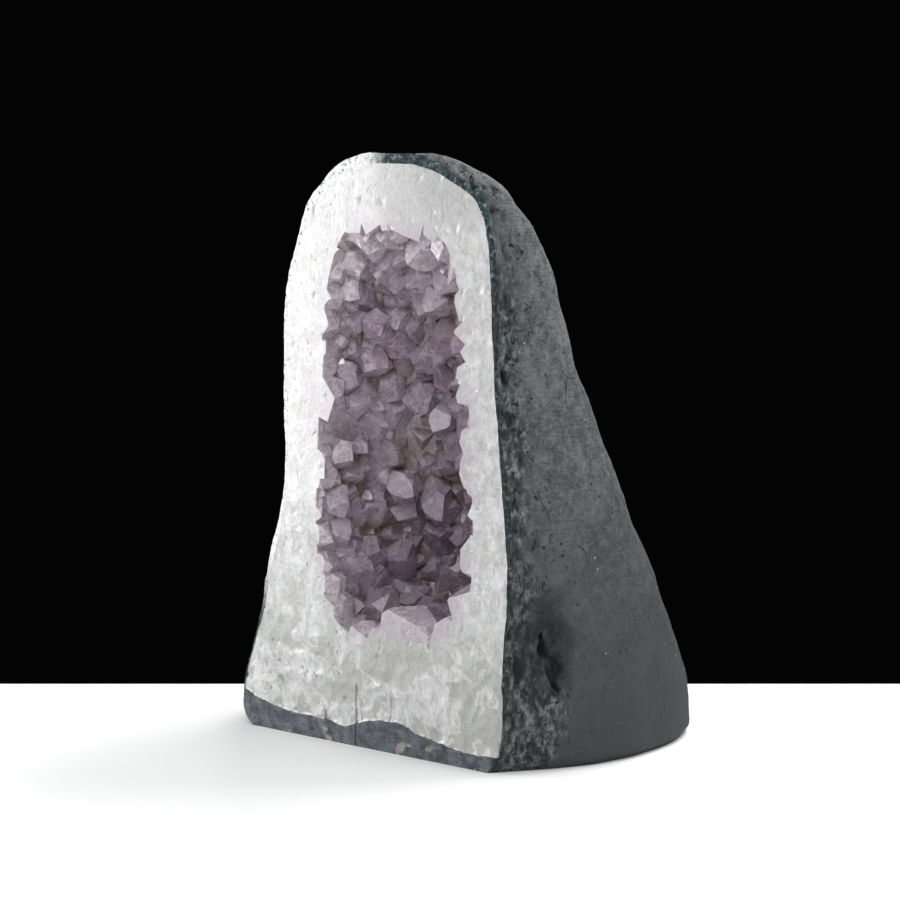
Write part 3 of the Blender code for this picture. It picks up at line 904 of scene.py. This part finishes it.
def flank_stone(f, strokes, cloud, fine):
    """Colour of the trowelled stone, with painted shade low down and in its deep relief, and the height of
    its cracks, pits and pocks.
    """
    x, y, z = f.xyz()
    sand = f.noise(0.0024, 5.0, 0.7)
    grey = f.layered(
        f.mix(f.span(cloud, 0.3, 0.7), (0.070, 0.076, 0.080), (0.128, 0.137, 0.141)),
        (strokes, 0.35, 0.62, 0.0, 0.34, (0.046, 0.051, 0.054)),
        (fine, 0.46, 0.68, 0.0, 0.75, (0.165, 0.174, 0.177)),
        (fine, 0.32, 0.48, 0.75, 0.0, (0.026, 0.029, 0.031)),
        (sand, 0.52, 0.68, 0.0, 0.5, (0.19, 0.20, 0.20)),
        (sand, 0.34, 0.46, 0.6, 0.0, (0.022, 0.024, 0.026)),
        # painted shade: the stone darker towards the bottom, where less light falls
        (z, 0.00, 0.30, 0.85, 0.0, (0.034, 0.037, 0.040)),
    )
    # hairline cracks, small black pits and a few white specks
    push = f.node("TexNoise", (("Vector", f.place), ("Scale", 30.0))).outputs["Color"]
    bent = f.vector("ADD", f.place, f.vector("MULTIPLY", push, (0.02, 0.02, 0.02)))
    line = f.fall(f.cells(0.060, "DISTANCE_TO_EDGE", place=bent), 0.003, 0.009)
    line = f.times(line, f.span(f.noise(0.035, 2.0), 0.56, 0.62))
    picked = f.span(f.cell_value(0.0055), 0.88, 0.90)
    pit = f.times(f.fall(f.cells(0.0055), 0.10, 0.26), picked)
    speck = f.times(f.fall(f.cells(0.0105), 0.04, 0.09), f.span(f.noise(0.030, 2.0), 0.57, 0.64))
    grey = f.mix(f.times(line, 0.7), grey, (0.015, 0.016, 0.017))
    grey = f.mix(pit, grey, (0.010, 0.011, 0.012))
    grey = f.mix(f.times(speck, 0.8), grey, (0.45, 0.46, 0.44))
    # dark rough strip beside the sawn face on the right flank, and the scar
    wander = f.stray(0.044, f.noise(0.022, 5.0, 0.6))
    inside = f.minus(f.plus(y, wander), f.span(z, 0.06, 0.13, 0.026, 0.0))
    right = f.span(x, 0.0, 0.05)
    strip = f.times(f.fall(inside, 0.006, 0.020), right, f.span(z, 0.29, 0.36, 1.0, 0.25))
    pocks = f.times(f.span(f.noise(0.0034, 3.0, 0.6), 0.57, 0.63), f.fall(inside, 0.010, 0.048))
    pocks = f.times(pocks, f.span(f.noise(0.020, 3.0), 0.44, 0.56), right)
    mottle = f.ramp(
        f.noise(0.0046, 6.0, 0.72, 0.2, place=f.stretched(1.0, 1.0, 0.60)),
        (0.36, (0.004, 0.005, 0.005)),
        (0.47, (0.030, 0.034, 0.034)),
        (0.55, (0.100, 0.109, 0.110)),
        (0.66, (0.22, 0.235, 0.235)),
    )
    stone = f.mix(f.times(strip, 0.92), grey, mottle)
    stone = f.mix(pocks, stone, (0.006, 0.007, 0.007))
    scar = f.vector("DIVIDE", f.vector("SUBTRACT", f.place, SCAR_MIDDLE), (0.040, 0.026, 0.042))
    scar = f.plus(f.length(scar), f.stray(1.2, f.noise(0.014, 4.0)))
    stone = f.layered(
        stone,
        # painted shade: darker where the relief lies deep, in the pits, the scar's ledges and the groove
        (f.attribute("pit"), 0.0014, 0.0046, 0.0, 0.90, (0.006, 0.006, 0.007)),
        # the scar's stone is dark, and painted shade in its hollow darkens it further
        (scar, 0.55, 1.05, 0.70, 0.0, (0.010, 0.011, 0.012)),
    )
    teal = f.times(f.fall(y, 0.001, 0.006), f.span(f.noise(0.006, 4.0), 0.45, 0.60))
    stone = f.mix(f.times(teal, 0.7), stone, (0.016, 0.045, 0.043))
    return stone, pit, f.plus(pocks, line)


def coat_edge(f):
    """Colour of the coat's sawn edge: blue-green, but white where the quartz spreads over it on the left."""
    x, _, z = f.xyz()
    band = f.ramp(
        f.noise(0.0042, 6.0, 0.68),
        (0.36, (0.003, 0.005, 0.007)),
        (0.47, (0.010, 0.021, 0.026)),
        (0.55, (0.036, 0.062, 0.072)),
        (0.66, (0.26, 0.30, 0.30)),
    )
    bleached = f.ramp(
        f.noise(0.0034, 6.0, 0.70),
        (0.34, (0.03, 0.03, 0.03)),
        (0.40, (0.34, 0.35, 0.35)),
        (0.46, (0.80, 0.81, 0.81)),
        (0.70, (0.92, 0.92, 0.92)),
    )
    band = f.mix(f.span(z, 0.31, 0.35, 0.5, 0.0), band, (0.006, 0.009, 0.009))
    strayed = f.plus(x, f.stray(0.030, f.noise(0.009, 4.0)))
    leftward = f.times(f.fall(strayed, -0.008, 0.018), f.span(z, 0.07, 0.14))
    return f.mix(leftward, band, bleached)


def foot_front(f):
    """Colour of the foot's sawn front: slate grey with scores, beige chips and one crack."""
    x, _, z = f.xyz()
    scored = f.noise(0.0055, 4.0, place=f.stretched(0.22, 1.0, 1.7))
    foot = f.layered(
        (0.038, 0.044, 0.053),
        (f.noise(0.009, 6.0, 0.70), 0.30, 0.68, 0.0, 1.0, (0.142, 0.158, 0.179)),
        (scored, 0.45, 0.68, 0.0, 0.4, (0.034, 0.038, 0.044)),
    )
    beige = f.times(f.span(f.noise(0.017, 3.0), 0.60, 0.65), f.fall(z, 0.007, 0.011))
    foot = f.mix(f.times(beige, 0.75), foot, (0.34, 0.32, 0.27))
    crack = f.distance(f.plus(x, f.stray(0.0022, f.noise(0.006, 3.0))), -0.0152)
    return f.mix(f.fall(crack, 0.0003, 0.0008), foot, (0.006, 0.006, 0.007))


def coat_finish():
    f = Finish("coat stone", Specular_IOR_Level=0.28)
    _, y, z = f.xyz()
    cloud = f.noise(0.050, 5.0)
    fine = f.noise(0.0075, 6.0, 0.65)
    grain = f.noise(0.0013, 3.0)
    # trowel strokes in two directions, one or the other by place
    one = f.turned((0.5, 0.0, 0.4), (1.0, 1.0, 7.0))
    two = f.turned((-0.9, 0.0, 0.2), (1.0, 1.0, 9.0))
    strokes = f.plus(
        f.times(f.noise(0.015, 4.0, place=one), f.span(cloud, 0.42, 0.55)),
        f.times(f.noise(0.013, 4.0, place=two), f.fall(cloud, 0.42, 0.55)),
    )
    stone, pit, dents = flank_stone(f, strokes, cloud, fine)
    cut = f.mix(f.span(z, 0.030, 0.036), foot_front(f), coat_edge(f))
    skin = f.bump(strokes, 0.0016, 0.8)
    skin = f.bump(fine, 0.0016, 0.9, skin)
    skin = f.bump(f.minus(f.minus(grain, pit), dents), 0.0006, 0.9, skin)
    base = f.mix(f.fall(y, 0.0010, 0.0022), stone, cut)
    f.surface(base, f.span(fine, 0.3, 0.7, 0.58, 0.84), skin)
    return f


def polar(f):
    """How far out from the opening's middle a point lies, 1 at the opening, and its direction."""
    x, _, z = f.xyz()
    across = f.over(f.minus(x, HOLLOW_MIDDLE_X), HOLLOW_HALF_WIDTH)
    upward = f.over(f.minus(z, HOLLOW_MIDDLE_Z), HOLLOW_HALF_HEIGHT)
    far = f.length(f.pack(across, upward, 0.0))
    turn = f.math("ARCTAN2", upward, across)
    return far, f.math("COSINE", turn), f.math("SINE", turn)


def radiating(f, round_size, out_size):
    """A texture place that is stretched outward from the opening."""
    far, c, s = polar(f)
    ring = 0.115 / round_size
    return f.pack(f.times(c, ring), f.times(s, ring), f.times(far, 0.1 / out_size))


def quartz_look(f):
    """Colour, height and rays of sawn white quartz, with its crystals' outlines, clear masses and stains."""
    x, _, z = f.xyz()
    far, _, _ = polar(f)
    rays = f.noise(1.0, 6.0, 0.68, 0.7, place=radiating(f, 0.0085, 0.0105))
    grown = radiating(f, 0.0105, 0.022)
    blade = f.cell_value(1.0, grown)
    seam = f.fall(f.cells(1.0, "DISTANCE_TO_EDGE", place=grown), 0.0, 0.07)
    cloud = f.noise(0.020, 6.0, 0.62, 0.4)
    frost = f.noise(0.0028, 6.0, 0.72)
    patch = f.noise(0.0095, 6.0, 0.72, 0.9)
    white = f.mix(f.span(rays, 0.38, 0.66), (0.52, 0.525, 0.515), (0.84, 0.85, 0.85))
    white = f.layered(
        f.mix(f.times(blade, 0.30), white, (0.50, 0.505, 0.49)),
        (cloud, 0.50, 0.68, 0.0, 0.60, (0.90, 0.905, 0.90)),
        (cloud, 0.34, 0.46, 0.42, 0.0, (0.47, 0.475, 0.46)),
        (frost, 0.54, 0.72, 0.0, 0.75, (0.95, 0.95, 0.95)),
        (frost, 0.30, 0.44, 0.35, 0.0, (0.40, 0.40, 0.39)),
    )
    white = f.layered(
        f.mix(f.times(seam, 0.12), white, (0.94, 0.94, 0.93)),
        (patch, 0.53, 0.64, 0.0, 0.55, (0.95, 0.95, 0.95)),
        (patch, 0.36, 0.46, 0.50, 0.0, (0.42, 0.425, 0.415)),
    )
    # lower down the quartz is clearer, in grey-green and lilac masses with pale borders
    low = f.fall(z, 0.050, 0.115)
    body = f.noise(0.026, 4.0, 0.5, 0.6)
    mass = f.times(low, f.span(body, 0.46, 0.56))
    white = f.mix(f.times(mass, 0.85), white, (0.43, 0.44, 0.40))
    border = f.fall(f.distance(body, 0.50), 0.0, 0.020)
    white = f.mix(f.times(border, low, 0.45), white, (0.92, 0.92, 0.90))
    # the large clear crystal in the middle of the lower edge
    wide = f.over(f.minus(x, 0.022), 0.036)
    tall = f.over(f.minus(z, 0.068), 0.026)
    lump = f.plus(f.length(f.pack(wide, tall, 0.0)), f.stray(0.9, f.noise(0.020, 3.0)))
    white = f.layered(
        white,
        (lump, 0.80, 0.98, 0.80, 0.0, (0.455, 0.47, 0.43)),
        (f.distance(lump, 0.97), 0.0, 0.07, 0.35, 0.0, (0.93, 0.93, 0.92)),
    )
    # the face's clear top, then the lilac and the iron stains beside the opening
    clear = f.times(f.span(z, 0.335, 0.375), f.span(x, -0.005, 0.025))
    white = f.mix(f.times(clear, 0.62), white, (0.40, 0.41, 0.40))
    lilac = f.times(f.fall(far, 1.0, 1.25), f.span(f.noise(0.016, 4.0), 0.40, 0.60))
    white = f.mix(f.times(lilac, 0.55), white, (0.53, 0.46, 0.53))
    stain = f.times(f.fall(far, 0.98, 1.16), f.span(f.noise(0.011, 5.0, 0.65), 0.60, 0.70))
    white = f.mix(f.times(stain, 0.7), white, (0.46, 0.30, 0.15))
    # dark flecks, most of them on the left
    flecks = f.noise(0.0036, 4.0, 0.6, 0.4, place=f.stretched(1.0, 1.0, 0.7))
    dots = f.times(f.span(flecks, 0.615, 0.645), f.span(f.noise(0.018, 4.0), 0.44, 0.54))
    dots = f.times(dots, f.span(x, -0.01, 0.03, 1.0, 0.3), 0.8)
    white = f.mix(dots, white, (0.09, 0.09, 0.09))
    height = f.plus(f.times(frost, 0.7), f.plus(f.times(blade, 0.35), f.times(cloud, 0.8)))
    return white, height, rays


def quartz_finish():
    f = Finish(
        "sawn quartz",
        IOR=1.54,
        Coat_Weight=0.60,
        Coat_Roughness=0.12,
        Subsurface_Weight=0.10,
        Subsurface_Scale=0.004,
    )
    white, height, rays = quartz_look(f)
    x, _, z = f.xyz()
    # the cut points turn lilac towards their tips, over an edge that follows their outlines
    tip = f.plus(f.attribute("rise"), f.stray(0.014, f.noise(0.0080, 4.0)))
    shade = f.mix(f.noise(0.0050, 5.0, 0.65), (0.34, 0.27, 0.335), (0.66, 0.61, 0.66))
    white = f.mix(f.span(tip, 0.005, 0.016, 0.0, 0.80), white, shade)
    wobble = f.stray(0.0050, f.noise(0.008, 4.0))
    for place, top, half in FACE_CRACKS:
        away = f.distance(f.plus(x, wobble), place)
        line = f.times(f.fall(away, half * 0.6, half * 1.6), f.fall(z, top - 0.004, top))
        white = f.mix(f.times(line, 0.85), white, (0.07, 0.065, 0.06))
    white = f.mix(1.0, white, (0.66, 0.66, 0.66), "MULTIPLY")
    f.surface(white, f.span(rays, 0.3, 0.7, 0.20, 0.40), f.bump(height, 0.0011, 0.75))
    return f


def crystal_finish():
    f = Finish("amethyst", IOR=1.544, Transmission_Weight=0.28, Coat_Weight=0.90, Coat_Roughness=0.03)
    _, y, z = f.xyz()
    rise = f.attribute("rise")
    tone = f.attribute("tone")
    haze = f.noise(0.0065, 6.0, 0.68, 0.5)
    veils = f.noise(0.0060, 6.0, 0.70, 1.0)
    warm = f.noise(0.030, 4.0, 0.6)
    # paler at the foot, by crystal and facet lighter or darker, with veils and warm clouds
    level = f.plus(rise, f.stray(0.020, haze))
    body = f.ramp(
        f.over(level, 0.026),
        (0.05, (0.90, 0.86, 0.89)),
        (0.22, (0.82, 0.73, 0.81)),
        (0.46, (0.68, 0.55, 0.67)),
        (0.90, (0.58, 0.44, 0.575)),
    )
    body = f.layered(
        body,
        (tone, 0.60, 1.0, 0.0, 0.75, (0.90, 0.87, 0.92)),
        (tone, 0.0, 0.38, 0.62, 0.0, (0.25, 0.165, 0.235)),
        (veils, 0.51, 0.63, 0.0, 0.80, (0.93, 0.89, 0.93)),
        (veils, 0.34, 0.47, 0.75, 0.0, (0.22, 0.15, 0.205)),
        (warm, 0.50, 0.66, 0.0, 0.42, (0.52, 0.39, 0.31)),
    )
    # iron stains sit low between the points
    rust = f.times(f.fall(rise, 0.0050, 0.0130), f.span(warm, 0.42, 0.56))
    body = f.mix(f.times(rust, 0.80), body, (0.22, 0.13, 0.07))
    # painted shade: the crystals darker towards the bottom of the hollow
    deep = f.mix(f.span(z, 0.08, 0.26), (0.64, 0.60, 0.63), (0.76, 0.73, 0.76))
    body = f.mix(1.0, body, deep, "MULTIPLY")
    # painted light: the points near the opening are paler, standing in for light that shines through them
    # from the quartz behind
    backlit_depth = f.plus(y, f.stray(0.036, f.noise(0.018, 4.0)))
    backlit_depth = f.minus(backlit_depth, f.span(z, 0.24, 0.34, 0.0, 0.004))
    pale = f.mix(f.span(veils, 0.35, 0.62), (0.52, 0.42, 0.49), (0.97, 0.93, 0.96))
    body = f.mix(f.span(backlit_depth, 0.004, 0.032, 0.62, 0.0), body, pale)
    skin = f.bump(f.noise(0.0016, 4.0), 0.0004, 0.35, f.bump(veils, 0.0012, 0.35))
    f.surface(body, f.span(haze, 0.38, 0.66, 0.06, 0.30), skin)
    inside = f.node("VolumeAbsorption", (("Color", (0.78, 0.62, 0.80, 1.0)), ("Density", 14.0)))
    f.tree.links.new(inside.outputs["Volume"], f.output.inputs["Volume"])
    return f


def wear(made, *finishes):
    """Gives a piece its materials, after dropping the doubled faces that a Boolean can leave."""
    made.data.validate()
    for finish in finishes:
        made.data.materials.append(finish.material)


def dress(made, node, *finishes):
    """Moves a finished piece to its place and ties it to the frame."""
    made.data.transform(Matrix.Translation(SHIFT))
    wear(made, *finishes)
    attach(made, "root")
    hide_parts(node)


def shade_by_angle(made, angle):
    """Smooth shading except over edges sharper than the angle."""
    bm = bmesh.new()
    bm.from_mesh(made.data)
    for face in bm.faces:
        face.smooth = True
    for edge in bm.edges:
        edge.smooth = len(edge.link_faces) == 2 and edge.calc_face_angle() < angle
    bm.to_mesh(made.data)
    bm.free()


def make_coat(saw):
    made = coat()
    room, block = quartz_body("coat_room", GAP, -CUTTER_PROUD)
    carve(made, room, saw)
    settle(made, [room, block])
    shade_by_angle(made, SMOOTH_ANGLE)
    dress(made, "rind", coat_finish())


def make_quartz(saw, sawn):
    made, block = quartz_body("quartz_band", 0.0, -PROUD)
    hollow = hollow_body("quartz_hollow", GAP, -CUTTER_PROUD)
    carve(made, hollow, saw)
    settle(made, [block, hollow])
    shade_by_angle(made, SMOOTH_ANGLE)
    dress(made, "quartz_layer", sawn)


def make_lining(saw, sawn):
    rng = np.random.default_rng(CRYSTAL_SEED)
    made = hollow_body("crystal_lining", CRUST_PROUD, -PROUD)
    bowl = hollow_body("lining_floor", -CRUST_FLOOR, -CUTTER_PROUD)
    carve(made, bowl)
    crystals = lining_crystals(rng, rim_crystals(rng))
    cutters = [bowl]
    for number, group in enumerate(spread_groups(crystals)):
        points = joined(f"points_{number}", group)
        cutters.append(points)
        boolean(made, points, "UNION")
    wall = hollow_body("lining_wall", 0.0, -PROUD)
    boolean(made, wall, "INTERSECT")
    carve(made, saw)
    settle(made, [*cutters, wall])
    mark_facets(made, crystals, rng)
    dress(made, "amethyst_crust", crystal_finish(), sawn)


def area_light(name, place, target, width, height, power):
    lamp = bpy.data.lights.new(name, "AREA")
    lamp.shape = "RECTANGLE"
    lamp.size, lamp.size_y = width, height
    lamp.energy = power
    made = bpy.data.objects.new(name, lamp)
    bpy.context.scene.collection.objects.link(made)
    made.location = Vector(place)
    made.rotation_euler = (Vector(target) - Vector(place)).to_track_quat("-Z", "Y").to_euler()


def make_floor():
    """A pale table top whose back edge lies a little behind the object, square to the camera."""
    bm = bmesh.new()
    turn = CAMERA_TURN[2]
    ahead = Vector((-math.sin(turn), math.cos(turn), 0.0))
    aside = Vector((math.cos(turn), math.sin(turn), 0.0))
    left, right = -aside * FLOOR_HALF, aside * FLOOR_HALF
    near, far = -ahead * FLOOR_FRONT, ahead * FLOOR_BACK
    bm.faces.new([bm.verts.new(corner) for corner in (left + near, right + near, right + far, left + far)])
    made = finished("table_top", bm)
    f = Finish("pale table", Roughness=0.6)
    f.feed(f.shader.inputs["Base Color"], f.mix(f.noise(0.2, 3.0), (0.90, 0.905, 0.91), (0.93, 0.935, 0.94)))
    wear(made, f)


def make_light():
    world = bpy.context.scene.world or bpy.data.worlds.new("studio")
    bpy.context.scene.world = world
    bpy.context.scene.view_settings.view_transform = "Standard"
    world.use_nodes = True
    background = world.node_tree.nodes["Background"]
    background.inputs["Color"].default_value = DARKNESS
    background.inputs["Strength"].default_value = 1.0
    for row in LIGHTS:
        area_light(*row)


def make_camera():
    lens = bpy.data.cameras.new("camera")
    lens.lens = CAMERA_LENS
    made = bpy.data.objects.new("camera", lens)
    bpy.context.scene.collection.objects.link(made)
    made.location = CAMERA_PLACE + SHIFT
    made.rotation_euler = CAMERA_TURN
    bpy.context.scene.camera = made


make_camera()
make_light()
make_floor()
cutter = saw_cutter()
make_coat(cutter)
sawn_quartz = quartz_finish()
make_quartz(cutter, sawn_quartz)
make_lining(cutter, sawn_quartz)
bpy.data.objects.remove(cutter)
